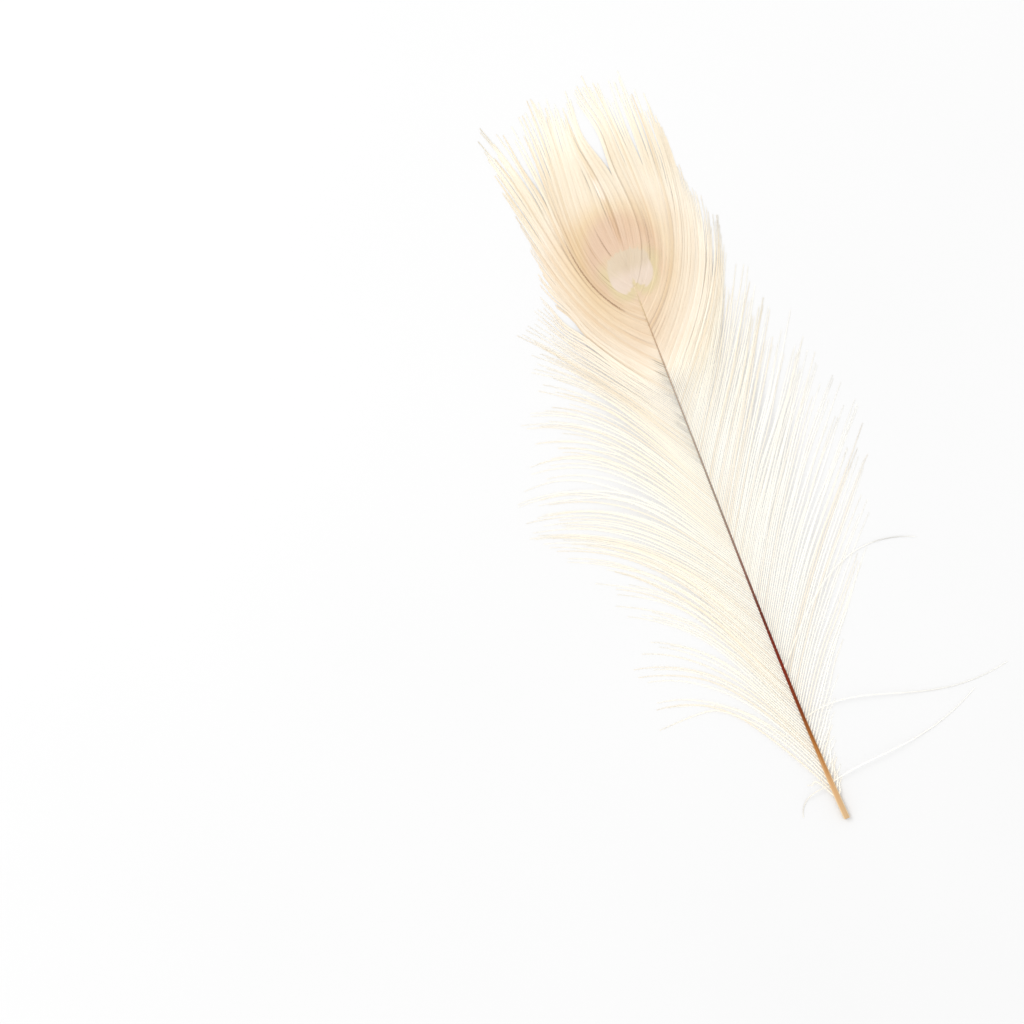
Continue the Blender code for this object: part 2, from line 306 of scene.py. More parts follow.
# Lines in the eye. The brown ones fade towards the crown and beside the notch at the shaft's tip.
# PAINTED_GAP_SHADE is painted shade: darker web edges that stand for the shade between the eye's barbs.
PAINTED_GAP_SHADE = (180, 140, 100)
BROWN_LINE = (132, 82, 44)
BROWN_ENDS = (236, 222)
NOTCH_BESIDE, NOTCH_FROM, NOTCH_TO = (8.5, 5.5), (187, 194), (221, 214)
NOTCH_LATER_ON_RIGHT = 10
NOTCH_FADE = 0.8

# Barbs that are darker than the rest, stains and blotches.
TONE = (236, 222, 200)
STAIN = (74, 66, 46)
TINT = (246, 232, 214)
THROUGH = 0.22  # the share of the light that barbs let through

# The shaft's colours from the cut end up, as shares of its length.
SHAFT_COLOURS = (
    (0.0, (188, 157, 118)),
    (0.06, (188, 148, 104)),
    (0.12, (155, 99, 40)),
    (0.185, (109, 47, 6)),
    (0.28, (106, 24, 0)),
    (0.37, (90, 38, 24)),
    (0.46, (122, 90, 78)),
    (0.56, (136, 120, 106)),
    (0.75, (158, 144, 130)),
    (0.88, (176, 148, 120)),
    (0.94, (198, 178, 142)),
    (0.965, (224, 205, 180)),
)
# Painted light: the shaft's sides near the quill are paler, for light passing through the thin horn
# there.
SHAFT_SIDES_PAINTED_LIGHT = (222, 196, 158)
QUILL_CUT = (232, 214, 182)

# The stage.
FLOOR_HALF = 4.0
FLOOR_DARKER, FLOOR_LIGHTER = (209, 209, 209), (212, 212, 212)
SKY_STRENGTH = 1.23
SOFTBOX_SIDE = 1.4
SOFTBOX_WATTS = 26.0
SOFTBOX_PLACE = (-1.1, 1.2, 2.0)


def srgb(red, green, blue):
    """A colour as seen on screen, from 0 to 255 a channel, as the linear colour that a shader takes."""
    parts = [channel / 255 for channel in (red, green, blue)]
    return tuple(c / 12.92 if c <= 0.04045 else ((c + 0.055) / 1.055) ** 2.4 for c in parts) + (1.0,)


def smooth(value):
    value = np.clip(value, 0.0, 1.0)
    return value * value * (3 - 2 * value)


def varied(index, kind):
    """A fixed number from 0 to 1 that differs from one index to the next."""
    return np.sin(12.9898 * index + 78.233 * kind) * 43758.5453 % 1.0


def blended(stations, column, along):
    """One column of a table keyed by its first, blended at places along it."""
    table = np.array(stations, float)
    return np.interp(along, table[:, 0], table[:, column])


def shaft_radius(along):
    return blended(SHAFT_RADII, 1, along)


def shaft_side(along):
    share = np.minimum(np.asarray(along) / SHAFT_END, 1.0)
    return -SHAFT_BOW * np.sin(math.pi * share**BOW_SKEW)


def shaft_height(along):
    share = np.maximum(np.asarray(along) - FLAT_REST, 0.0) / (SHAFT_END - FLAT_REST)
    arch = SHAFT_ARCH * np.sin(math.pi * share) ** 2 * (1 - ARCH_FALLS_OFF * share)
    return shaft_radius(along) + arch + SHAFT_TIP_HEIGHT * smooth(share)


def curve(start, leave, tip, arrive, side, share):
    """Points on the smooth curves from start to tip that leave and arrive at the given angles."""
    leave, arrive = np.radians(leave), np.radians(arrive)
    reach = np.hypot(tip[0] - start[0], tip[1] - start[1])
    ways = (
        (side * np.sin(leave), np.cos(leave)),
        (side * np.sin(arrive), np.cos(arrive)),
    )
    rest = 1 - share
    return [
        start[axis] * rest**3
        + (start[axis] + ways[0][axis] * reach * LEAVING_PULL) * 3 * rest**2 * share
        + (tip[axis] - ways[1][axis] * reach * ARRIVING_PULL) * 3 * rest * share**2
        + tip[axis] * share**3
        for axis in (0, 1)
    ]


def barb_point(side, root, share):
    """Places in plan at shares of the way along the barbs that grow at root."""
    barbs = RIGHT_BARBS if side > 0 else LEFT_BARBS
    leave, tip_out, tip_along, arrive = (blended(barbs, column, root) for column in (1, 2, 3, 4))
    tip_out = tip_out + blended(RUFFLE_OUT, 1, root) * np.sin(root / RUFFLE_OUT_EVERY + 2 * side)
    start = (shaft_side(root) + side * shaft_radius(root) * BARB_START, root)
    return curve(start, leave, (side * tip_out, tip_along), arrive, side, share)


def barb_height(root, share, lock):
    start = shaft_height(root) + BARB_SEAT * shaft_radius(root)
    wave = LOCK_WAVE * (varied(lock, WAVE_KIND) - 0.5) * np.sin(math.pi * share)
    return start + (TIP_LEVEL - start) * smooth(share) + wave


def root_places():
    close = (LAST_ROOT - CLOSE_FROM) / CLOSENESS
    run = (CLOSE_FROM - FIRST_ROOT + close) * np.arange(LOCKS_A_SIDE + 1) / LOCKS_A_SIDE
    loose = np.minimum(run, CLOSE_FROM - FIRST_ROOT)
    return FIRST_ROOT + loose + (run - loose) * CLOSENESS


def closeness(out, along):
    """How tightly the barbs hold together at a place: 1 in the eye, 0 in the loose vane."""
    up = along - EYE_CENTRE[1]
    up = up / np.where(up < 0, CLOSE_REACH[1], CLOSE_REACH[2])
    far = np.hypot((out - EYE_CENTRE[0]) / CLOSE_REACH[0], up)
    return 1 - smooth((far - 1.1) / 1.0)


def parted(out, along):
    """Barbs, a row each, moved aside by the holes that they part around."""
    for (middle_out, middle_along), width, run in PARTINGS:
        beside = np.abs(along - middle_along).argmin(axis=1)
        side = np.where(out[np.arange(len(out)), beside] < middle_out, -1, 1)[:, None]
        push = width * np.exp(-(((along - middle_along) / run) ** 2))
        out = out + side * push * np.exp(-(((out - middle_out) / (2.5 * width)) ** 2))
    return out


class Batch:
    """Points, faces and per-point values that become one mesh."""

    VALUES = ("across", "shift", "edge", "stain", "tone")

    def __init__(self):
        self.points, self.faces, self.values = [], [], {name: [] for name in self.VALUES}
        self.count = 0

    def add(self, points, faces, **values):
        """points is (n, 3) in plan millimetres with height; faces is (m, 3 or 4)."""
        self.points.append(points)
        self.faces.append(faces + self.count)
        for name in self.VALUES:
            given = values.get(name, 0.0)
            self.values[name].append(np.broadcast_to(np.asarray(given, np.float32), len(points)))
        self.count += len(points)

    def finished(self, name, material):
        points = np.concatenate(self.points)
        points[:, :2] += QUILL_END
        mesh = bpy.data.meshes.new(name)
        mesh.vertices.add(len(points))
        mesh.vertices.foreach_set("co", (points * MM).astype(np.float32).ravel())
        corners = np.concatenate([block.ravel() for block in self.faces])
        sizes = np.concatenate([np.full(len(block), block.shape[1]) for block in self.faces])
        mesh.loops.add(len(corners))
        mesh.loops.foreach_set("vertex_index", corners.astype(np.int32))
        mesh.polygons.add(len(sizes))
        starts = np.concatenate([[0], np.cumsum(sizes)[:-1]])
        mesh.polygons.foreach_set("loop_start", starts.astype(np.int32))
        mesh.polygons.foreach_set("loop_total", sizes.astype(np.int32))
        mesh.update(calc_edges=True)
        for key, given in self.values.items():
            attribute = mesh.attributes.new(key, "FLOAT", "POINT")
            attribute.data.foreach_set("value", np.concatenate(given).astype(np.float32))
        add_plan_map(mesh, points, corners)
        mesh.materials.append(material)
        mesh.shade_smooth()
        made = bpy.data.objects.new(name, mesh)
        bpy.context.scene.collection.objects.link(made)
        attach(made, "root")
        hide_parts("feather")


def add_plan_map(mesh, points, corners):
    """A map of the piece as seen from above, so that each point's texture is its own place's."""
    low, high = points[:, :2].min(axis=0), points[:, :2].max(axis=0)
    share = 0.01 + 0.98 * (points[:, :2] - low) / (high - low).max()
    layer = mesh.uv_layers.new(name="OFBake")
    layer.data.foreach_set("uv", share[corners].astype(np.float32).ravel())


def strips(rows, columns):
    """Quads over a grid of points, given as rows of columns, with several grids one after another."""
    at = np.arange(rows * columns).reshape(rows, columns)
    return np.stack([at[:-1, :-1], at[:-1, 1:], at[1:, 1:], at[1:, :-1]], axis=-1).reshape(-1, 4)


def tangents(path):
    """Unit directions along paths of points, (n, steps, 3), and level directions across them."""
    way = np.gradient(path, axis=1)
    way /= np.linalg.norm(way, axis=2, keepdims=True)
    across = np.stack([way[..., 1], -way[..., 0], np.zeros_like(way[..., 0])], axis=-1)
    across /= np.linalg.norm(across, axis=2, keepdims=True)
    return way, across


class Barbs:
    """Barbs side by side: a row of points each, and the values that colour them."""

    def __init__(self, path, share, shift, edge, tone, stain):
        self.path, self.share = path, share
        self.shift, self.edge, self.tone, self.stain = shift, edge, tone, stain
        self.way, self.across = tangents(path)

    def add_strips(self, batch, points, across):
        """Adds a strip a barb; points is (barbs, steps, columns, 3)."""
        n, steps, columns = points.shape[:3]
        points[..., 2] = np.maximum(points[..., 2], FLOOR_GAP)
        faces = strips(steps, columns)[None] + (np.arange(n) * steps * columns)[:, None, None]
        batch.add(
            points.reshape(-1, 3),
            faces.reshape(-1, 4),
            shift=np.repeat(self.shift, steps * columns),
            edge=np.repeat(self.edge, steps * columns),
            tone=np.repeat(self.tone, steps * columns),
            stain=(self.stain.ravel()[:, None] * (1 - np.abs(across)) ** 2).ravel(),
            across=np.tile(across, n * steps),
        )


def add_rami(batch, barbs, thickness):
    """The barbs' own stems: slender blades with a ridge on top."""
    half = (RAMUS_HALF_WIDTH * (1 - 0.72 * barbs.share) * thickness)[..., None] * barbs.across
    top = (RAMUS_HEIGHT * (1 - 0.6 * barbs.share) * thickness)[..., None] * np.array([0, 0, 1.0])
    path = barbs.path
    ring = [path - half, path + top, path + half, path - top * 0.5, path - half]
    barbs.add_strips(batch, np.stack(ring, axis=2), [0.0] * len(ring))


def add_webs(batch, barbs, half):
    """The close growth beside each stem: a flat ribbon, its outer edge lying over the next barb."""
    places = np.array(WEB_STATIONS)
    sideways = barbs.across[:, :, None] * (half[..., None] * places)[..., None]
    points = barbs.path[:, :, None] + sideways
    points[..., 2] += np.array(WEB_DROPS) * (half[..., None] / WEB_CLOSE)
    barbs.add_strips(batch, points, places)


def add_barbules(batch, barbs, rng, gap, loose_length):
    """The fine side growth: short pointed blades that lean forward from both sides of each stem."""
    run = np.linalg.norm(np.diff(barbs.path, axis=1), axis=2)
    run = np.concatenate([np.zeros((len(run), 1)), np.cumsum(run, axis=1)], axis=1)
    for index, places in enumerate(run):
        count = int(places[-1] / gap)
        known = np.concatenate(
            [barbs.path[index], barbs.way[index], barbs.across[index]]
            + [barbs.share[index][:, None], barbs.stain[index][:, None]],
            axis=1,
        )
        for side in (-1, 1):
            at = (np.arange(count) + rng.uniform(0, 1, count)) * places[-1] / count
            here = np.stack([np.interp(at, places, column) for column in known.T], axis=1)
            base, forward, out, share, stain = np.split(here, [3, 6, 9, 10], axis=1)
            stain = stain * smooth((share - BARBULE_STAIN_FROM) / 0.1)
            close = closeness(base[:, :1], base[:, 1:2])
            length = loose_length + (BARBULE_CLOSE - loose_length) * close
            length = length * (1 - 0.6 * share**3) * (0.6 + 0.4 * smooth(share / 0.3))
            length = length * rng.uniform(*BARBULE_LENGTHS, (count, 1))
            lean = np.radians(rng.normal(*BARBULE_LEAN, (count, 1)) + 4 * close)
            reach = (forward * np.cos(lean) + out * side * np.sin(lean)) * length
            reach[:, 2:] += rng.normal(-0.05, 0.1, (count, 1)) * (1 - 0.7 * close)
            wide = (0.033 + 0.05 * close) * forward
            narrow = wide * BARBULE_TIP_WIDTH
            corners = [base - wide, base + wide, base + reach + narrow, base + reach - narrow]
            points = np.stack(corners, axis=1).reshape(-1, 3)
            points[:, 2] = np.maximum(points[:, 2], FLOOR_GAP)
            batch.add(
                points,
                np.arange(count * 4).reshape(count, 4),
                shift=barbs.shift[index],
                tone=barbs.tone[index],
                stain=np.repeat(stain, 4),
                across=np.tile([0.3, 0.3, 1.0, 1.0], count),
            )


def tip_stain(path, share, rng):
    """How stained the barbs are: faintly at every tip, and more in a few places."""
    stain = TIP_STAIN * rng.uniform(0, 1, (len(share), 1)) * smooth((share - 0.86) / 0.14)
    for (out, along), reach, strength in STAINED_TIPS:
        far = np.hypot(path[..., 0] - out, path[..., 1] - along) / reach
        stain = stain + strength * np.exp(-(far**2)) * smooth((share - 0.7) / 0.25)
    return stain


def lock_roots(lock, low, high, n):
    """Where a lock's barbs leave the shaft. Those of the last lock go on to its tip."""
    roots = low + (high - low) * (np.arange(n) + 0.5) / n
    if lock == LOCKS_A_SIDE - 1:
        roots = np.linspace(roots[0], LAST_ROOT, n)
    return roots


def barb_lengths(side, lock, eye, n, rng):
    """Barbs' lengths as shares of the full one. One of them is as long as its lock."""
    longest = 1 - (1 - LOCK_SHORTEST) * varied(lock, LENGTH_KIND + side)
    length = longest * (1 - rng.uniform(0, TIPS_UNEVEN - TIPS_EVENER_IN_EYE * eye, n))
    length[rng.integers(n)] = longest
    return length


def barb_courses(side, lock, roots, span, eye, share, rng):
    """The root whose course each barb follows, which changes on its way out."""
    middle, pitch = (span[0] + span[1]) / 2, span[1] - span[0]
    upper = float(smooth((middle - UPPER_FROM) / UPPER_RUN))
    start = DRAW_FROM + DRAW_FROM_IN_EYE * eye
    draw = DRAW_LEAST + DRAW_SPREAD * varied(lock, DRAW_KIND + side)
    draw = draw * (1 - 0.6 * upper) * (1 - 0.7 * eye)
    draw = draw * SIDE_DRAW[side]
    draw = draw * smooth((share - start) / (1 - start))
    loose = (0.26 - 0.14 * upper - 0.04 * eye) * SIDE_WANDER[side]
    wander = rng.normal(0, loose, len(roots))[:, None] * pitch * smooth((share - 0.2) / 0.8)
    lean = LOCK_LEAN * (varied(lock, LEAN_KIND + side) - 0.5) * (1 - upper)
    lean = lean * smooth((share - 0.3) / 0.7)
    course = roots[:, None] + (middle - roots[:, None]) * draw + wander + lean
    return np.clip(course, FIRST_ROOT, LAST_ROOT)


def barb_paths(side, lock, middle, course, length, eye, share, rng):
    """The barbs' points, a row a barb, and how far each point is into the crown, from 0 to 1."""
    n = len(length)
    out, along = barb_point(side, course, share * length[:, None])
    height = barb_height(middle, share, lock)
    height = height + TIP_COVER * smooth((middle - TIP_COVER_FROM) / TIP_COVER_RUN) * (1 - share) ** 2
    height = height + HEIGHT_SPREAD * rng.normal(0, 1, n)[:, None] * np.sin(math.pi * share)
    path = np.stack([parted(out, along), along, np.maximum(height, FLOOR_GAP + 0.05)], axis=-1)
    crown = smooth((path[..., 1] - CROWN_FROM) / CROWN_RUN)
    sway = rng.uniform(*SWAY_REACH, n)[:, None] * np.sin(
        2 * math.pi * (share * rng.uniform(*SWAY_WAVES, n)[:, None] + rng.uniform(0, 1, n)[:, None])
    )
    path = path + tangents(path)[1] * (sway * share * (1 - 0.7 * eye * (1 - crown)))[..., None]
    return path, crown


def brown_lines(side, roots, low, high):
    """How brown each barb of a lock is."""
    edge = np.zeros(len(roots))
    for dark_side, dark_root, strength in DARK_BARBS:
        if dark_side == side and low <= dark_root < high:
            edge[np.abs(roots - dark_root).argmin()] = strength
    return edge


def add_barbs(batch, side, lock, places, rng):
    """One lock's barbs: they leave the shaft apart, and draw together towards the lock's tip."""
    low, high = places[lock], places[lock + 1]
    middle = (low + high) / 2
    eye = float(smooth((middle - CLOSE_FROM) / EYE_RUN))
    n = round(float(blended(BARBS_A_LOCK, 1, middle)))
    roots = lock_roots(lock, low, high, n)
    share = np.broadcast_to(np.linspace(0, 1, BARB_STEPS), (n, BARB_STEPS))
    length = barb_lengths(side, lock, eye, n, rng)
    course = barb_courses(side, lock, roots, (low, high), eye, share, rng)
    path, crown = barb_paths(side, lock, middle, course, length, eye, share, rng)
    edge = brown_lines(side, roots, low, high)
    lift = smooth((edge[:, None] - DARK_LIFT_FROM) / (1 - DARK_LIFT_FROM))
    path[..., 2] += DARK_LIFT * lift * np.sin(math.pi * share)
    stain = tip_stain(path, share, rng)
    if side < 0 and STAINED_ROOTS[0] < middle < STAINED_ROOTS[1]:
        reach = rng.uniform(*ROOT_STAIN_REACH, (n, 1))
        stain = stain + ROOT_STAIN * rng.uniform(0, 1, (n, 1)) * smooth((reach - share) / 0.05)
    close = closeness(path[..., 0], path[..., 1])
    half = (WEB_LOOSE + (WEB_CROWN - WEB_LOOSE) * crown) * (1 - WEB_TAPER * share**3)
    half = half + (WEB_CLOSE - half) * close
    tone = 0.2 * varied(lock, TONE_KIND + side) ** 2 + rng.uniform(0, 1, n) ** 4
    barbs = Barbs(path, share, rng.uniform(-1, 1, n), edge, np.clip(tone, 0, 1), stain)
    add_rami(batch, barbs, 1.0)
    add_webs(batch, barbs, half)
    gap = BARBULE_GAP_LOOSE + (BARBULE_GAP_CLOSE - BARBULE_GAP_LOOSE) * eye
    add_barbules(batch, barbs, rng, gap, BARBULE_LOOSE + (BARBULE_CROWN - BARBULE_LOOSE) * eye)


def add_stray(batch, rng, side, root, leave, tip_out, tip_along, arrive, stains):
    """A barb that has come away: it rises off its root, and comes down to the floor."""
    share = np.linspace(0, 1, BARB_STEPS)[None]
    start = (shaft_side(root), root)
    out, along = curve(start, leave, (side * tip_out, tip_along), arrive, side, share)
    start_height = shaft_height(root) + STRAY_SEAT * shaft_radius(root)
    height = start_height + (0.3 - start_height) * smooth(share)
    height = height + STRAY_LIFT * blended(STRAY_LIFT_PROFILE, 1, share)
    stain = stains[0] + (stains[1] - stains[0]) * smooth((share - stains[2]) / 0.12)
    stain = stain * (1 - 0.7 * smooth((share - 0.9) / 0.1))
    none = np.zeros(1)
    barbs = Barbs(np.stack([out, along, height], axis=-1), share, none, none, none, stain)
    add_rami(batch, barbs, STRAY_STEM)
    add_webs(batch, barbs, STRAY_WEB * (1 - 0.5 * share))
    add_barbules(batch, barbs, rng, BARBULE_GAP_CLOSE, STRAY_BARBULE)


def make_vanes(material):
    """Both vanes, in three pieces a side."""
    places = root_places()
    parts = (("lower_vane", 0, 10), ("middle_vane", 10, 20), ("eye_vane", 20, LOCKS_A_SIDE))
    for side, word in ((1, "right"), (-1, "left")):
        for name, first, last in parts:
            rng = np.random.default_rng(100 + first + side)
            batch = Batch()
            for lock in range(first, last):
                add_barbs(batch, side, lock, places, rng)
            if first == 0:
                for stray in STRAY_BARBS:
                    if stray[0] == side:
                        add_stray(batch, rng, *stray)
            batch.finished(f"{word}_{name}", material)


def make_shaft(material):
    """The shaft: an oval stem with a flatter underside, cut square at the quill."""
    start = [0, 0.02, 0.12]
    along = np.concatenate([start, np.linspace(0.5, SHAFT_END, SHAFT_RINGS - len(start))])
    angle = np.linspace(0, 2 * math.pi, SHAFT_AROUND, endpoint=False)
    radius = shaft_radius(along)[:, None]
    for ring, share in QUILL_BEVEL:
        radius[ring] *= share
    out = shaft_side(along)[:, None] + radius * np.sin(angle)
    up = np.cos(angle)
    flat = -SHAFT_FLAT_BELOW - (up + SHAFT_FLAT_BELOW) * SHAFT_FLAT_SLOPE
    flat = np.where(up < -SHAFT_FLAT_BELOW, flat, up)
    section = np.where(up < 0, flat / SHAFT_DEPTH, up).clip(-1, 1)
    height = shaft_height(along)[:, None] + radius * section
    points = np.stack([out, np.broadcast_to(along[:, None], out.shape), height], axis=-1)
    points[..., 2] = np.maximum(points[..., 2], FLOOR_GAP)
    points = np.concatenate([points, points[:, :1]], axis=1)
    batch = Batch()
    batch.add(
        points.reshape(-1, 3),
        strips(SHAFT_RINGS, SHAFT_AROUND + 1)[:, ::-1],
        across=np.tile(np.append(np.sin(angle), 0.0), SHAFT_RINGS),
    )
    middle = [float(shaft_side(0)), QUILL_DISH, float(shaft_height(0))]
    corner = np.arange(SHAFT_AROUND)
    fan = np.stack([corner, np.roll(corner, -1), np.full(SHAFT_AROUND, SHAFT_AROUND)], axis=1)
    batch.add(np.concatenate([points[0, :-1], [middle]]), fan, edge=1.0)
    batch.finished("shaft", material)


class Nodes:
    """A material's node tree, with short ways to add and join nodes."""

    def __init__(self, name):
        self.material = bpy.data.materials.new(name)
        self.material.use_nodes = True
        self.tree = self.material.node_tree
        self.shader = self.tree.nodes["Principled BSDF"]
        self.output = self.tree.nodes["Material Output"]

    def join(self, source, socket):
        self.tree.links.new(source, socket)

    def put(self, socket, value):
        if isinstance(value, bpy.types.NodeSocket):
            self.join(value, socket)
        else:
            socket.default_value = value

    def math(self, operation, *values, clamp=False):
        node = self.tree.nodes.new("ShaderNodeMath")
        node.operation = operation
        node.use_clamp = clamp
        for socket, value in zip(node.inputs, values):
            self.put(socket, value)
        return node.outputs[0]

    def vector(self, operation, *values):
        node = self.tree.nodes.new("ShaderNodeVectorMath")
        node.operation = operation
        for socket, value in zip(node.inputs, values):
            self.put(socket, value)
        return node.outputs["Value"] if operation == "LENGTH" else node.outputs[0]

    def times(self, *values):
        product = values[0]
        for value in values[1:]:
            product = self.math("MULTIPLY", product, value)
        return product

    def size(self, value):
        return self.math("ABSOLUTE", value)

    def split(self, vector):
        node = self.tree.nodes.new("ShaderNodeSeparateXYZ")
        self.join(vector, node.inputs[0])
        return node.outputs["X"], node.outputs["Y"]

    def step(self, value, low, high):
        """An even step from 0 at low to 1 at high; low may be the greater."""
        node = self.tree.nodes.new("ShaderNodeMapRange")
        node.interpolation_type = "SMOOTHSTEP"
        flipped = low > high
        self.put(node.inputs["Value"], value)
        node.inputs["From Min"].default_value = min(low, high)
        node.inputs["From Max"].default_value = max(low, high)
        node.inputs["To Min"].default_value = 1.0 if flipped else 0.0
        node.inputs["To Max"].default_value = 0.0 if flipped else 1.0
        return node.outputs["Result"]

    def mix(self, share, first, second, blend="MIX"):
        node = self.tree.nodes.new("ShaderNodeMix")
        node.data_type = "RGBA"
        node.blend_type = blend
        self.put(node.inputs["Factor"], share)
        self.put(node.inputs[6], first)
        self.put(node.inputs[7], second)
        return node.outputs[2]

    def ramp(self, value, stops):
        node = self.tree.nodes.new("ShaderNodeValToRGB")
        band = node.color_ramp
        while len(band.elements) < len(stops):
            band.elements.new(0.5)
        for element, (place, colour) in zip(band.elements, stops):
            element.position = place
            element.color = srgb(*colour)
        self.put(node.inputs["Fac"], value)
        return node.outputs["Color"]

    def attribute(self, name):
        node = self.tree.nodes.new("ShaderNodeAttribute")
        node.attribute_name = name
        return node.outputs["Fac"]

    def plan(self):
        """The place in plan millimetres, from the quill's cut end."""
        place = self.tree.nodes.new("ShaderNodeTexCoord").outputs["Object"]
        scaled = self.vector("MULTIPLY", place, (1 / MM, 1 / MM, 1 / MM))
        return self.vector("SUBTRACT", scaled, (QUILL_END[0], QUILL_END[1], 0))

    def noise(self, vector, scale, detail=3.0, roughness=0.55):
        node = self.tree.nodes.new("ShaderNodeTexNoise")
        node.inputs["Scale"].default_value = scale
        node.inputs["Detail"].default_value = detail
        node.inputs["Roughness"].default_value = roughness
        self.put(node.inputs["Vector"], vector)
        return node.outputs["Fac"]

    def bump(self, height, strength, distance):
        node = self.tree.nodes.new("ShaderNodeBump")
        node.inputs["Strength"].default_value = strength
        node.inputs["Distance"].default_value = distance
        self.join(height, node.inputs["Height"])
        return node.outputs["Normal"]


def oval(nodes, place, centre, reach):
    """The distance from centre as a share of an oval's reach."""
    away = nodes.vector("SUBTRACT", place, (centre[0], centre[1], 0))
    return nodes.vector("LENGTH", nodes.vector("MULTIPLY", away, (1 / reach[0], 1 / reach[1], 0)))


def ring_colour(nodes, place, out, along, ring):
    """The eye's rings, the crown above them and the warmer barbs below."""
    reach = nodes.math("MULTIPLY", ring, 1 / RINGS_END, clamp=True)
    left, right = nodes.ramp(reach, LEFT_RINGS), nodes.ramp(reach, RIGHT_RINGS)
    colour = nodes.mix(nodes.step(out, *SIDES_BLEND), left, right)
    colour = nodes.mix(nodes.step(along, *CROWN_FOOT_RUN), colour, srgb(*CROWN_FOOT))
    colour = nodes.mix(nodes.step(along, *CROWN_TOP_RUN), colour, srgb(*CROWN_TOP))
    bare = nodes.step(oval(nodes, place, *PALE_PATCH_OVAL), 1.0, 0.4)
    colour = nodes.mix(bare, colour, srgb(*PALE_PATCH))
    warm = nodes.times(nodes.step(along, *WARM_STARTS), nodes.step(along, *WARM_ENDS))
    warm = nodes.times(warm, nodes.step(nodes.size(out), *WARM_INWARDS), 0.8)
    return nodes.mix(warm, colour, srgb(*WARM))


def with_heart(nodes, colour, heart, along):
    """The pale heart, greyer at its top, inside an olive rim."""
    olive = nodes.times(nodes.step(heart, *OLIVE_EDGE), nodes.step(along, *OLIVE_RUN), 0.9)
    colour = nodes.mix(olive, colour, srgb(*OLIVE))
    lobes = nodes.mix(nodes.step(along, *LOBES_RUN), srgb(*HEART_TOP), srgb(*HEART_LOBES))
    return nodes.mix(nodes.step(heart, *HEART_EDGE), colour, lobes)


def with_lines(nodes, colour, shift, out, along, ring, heart):
    """Painted shade at the edges of the eye's barbs, for the shade between them, and barbs coloured
    brown.
    """
    across = nodes.size(nodes.attribute("across"))
    outside = nodes.step(heart, 0.95, 1.1)
    uneven = nodes.math("ADD", nodes.step(nodes.size(shift), 0.3, 1.0), 0.35)
    # Painted shade: the webs' edges are darkened, standing for the shade in the gaps between barbs.
    painted_gap_shade = nodes.times(nodes.step(across, 0.6, 1.0), nodes.step(ring, 2.7, 1.0), uneven)
    colour = nodes.mix(nodes.times(painted_gap_shade, outside, 0.3), colour, srgb(*PAINTED_GAP_SHADE))

    high = nodes.math("SUBTRACT", along, nodes.times(nodes.step(out, -2, 2), NOTCH_LATER_ON_RIGHT))
    near = nodes.times(nodes.step(nodes.size(out), *NOTCH_BESIDE), nodes.step(high, *NOTCH_FROM))
    near = nodes.times(near, nodes.step(along, *NOTCH_TO))
    away = nodes.math("SUBTRACT", 1.0, nodes.times(near, NOTCH_FADE))
    seam = nodes.times(nodes.attribute("edge"), nodes.step(ring, 1.9, 1.4))
    seam = nodes.times(seam, outside, nodes.step(along, *BROWN_ENDS), away)
    seam = nodes.times(seam, nodes.step(across, 0.75, 0.35), 0.65)
    return nodes.mix(seam, colour, srgb(*BROWN_LINE))


def with_tones(nodes, colour, flat, ring, heart):
    """What differs from barb to barb and from place to place: tone, stains and blotches."""
    toned = nodes.mix(1.0, colour, srgb(*TONE), "MULTIPLY")
    strength = nodes.times(nodes.attribute("tone"), nodes.step(heart, 1.1, 2.2), 0.5)
    colour = nodes.mix(strength, colour, toned)
    colour = nodes.mix(nodes.attribute("stain"), colour, srgb(*STAIN))
    blotch = nodes.noise(nodes.vector("MULTIPLY", flat, (0.09, 0.05, 0.0)), 1.0, 4.0)
    tint = nodes.times(nodes.step(blotch, 0.35, 0.75), nodes.step(ring, 3.4, 1.4), 0.2)
    return nodes.mix(tint, colour, nodes.mix(1.0, colour, srgb(*TINT), "MULTIPLY"))


def barb_material():
    """Bleached barbs: cream, warmer towards the shaft below the eye, with the eye's pale rings."""
    nodes = Nodes("bleached_barbs")
    flat = nodes.plan()
    shift = nodes.attribute("shift")
    uneven = nodes.tree.nodes.new("ShaderNodeCombineXYZ")
    nodes.join(nodes.times(shift, RING_UNEVEN), uneven.inputs["Y"])
    place = nodes.vector("ADD", flat, uneven.outputs[0])
    out, along = nodes.split(place)
    ring = oval(nodes, place, EYE_CENTRE, EYE_REACH)
    lobes = (oval(nodes, place, *given) for given in (HEART_LEFT, HEART_RIGHT))
    heart = nodes.math("MINIMUM", nodes.math("MINIMUM", *lobes), oval(nodes, place, *HEART_DOME))
    colour = ring_colour(nodes, place, out, along, ring)
    colour = with_heart(nodes, colour, heart, along)
    colour = with_lines(nodes, colour, shift, out, along, ring, heart)
    colour = with_tones(nodes, colour, flat, ring, heart)

    fine = nodes.noise(nodes.vector("MULTIPLY", flat, (2.5, 0.8, 2.0)), 1.0, 2.0)
    nodes.join(colour, nodes.shader.inputs["Base Color"])
    nodes.join(nodes.step(fine, -0.6, 1.6), nodes.shader.inputs["Roughness"])
    nodes.shader.inputs["Specular IOR Level"].default_value = 0.25
    nodes.shader.inputs["Sheen Weight"].default_value = 0.1
    nodes.join(nodes.bump(fine, 0.35, 0.0001), nodes.shader.inputs["Normal"])
    glow = nodes.tree.nodes.new("ShaderNodeBsdfTranslucent")
    nodes.join(colour, glow.inputs["Color"])
    both = nodes.tree.nodes.new("ShaderNodeMixShader")
    both.inputs["Fac"].default_value = THROUGH
    nodes.join(nodes.shader.outputs[0], both.inputs[1])
    nodes.join(glow.outputs[0], both.inputs[2])
    nodes.join(both.outputs[0], nodes.output.inputs["Surface"])
    return nodes.material


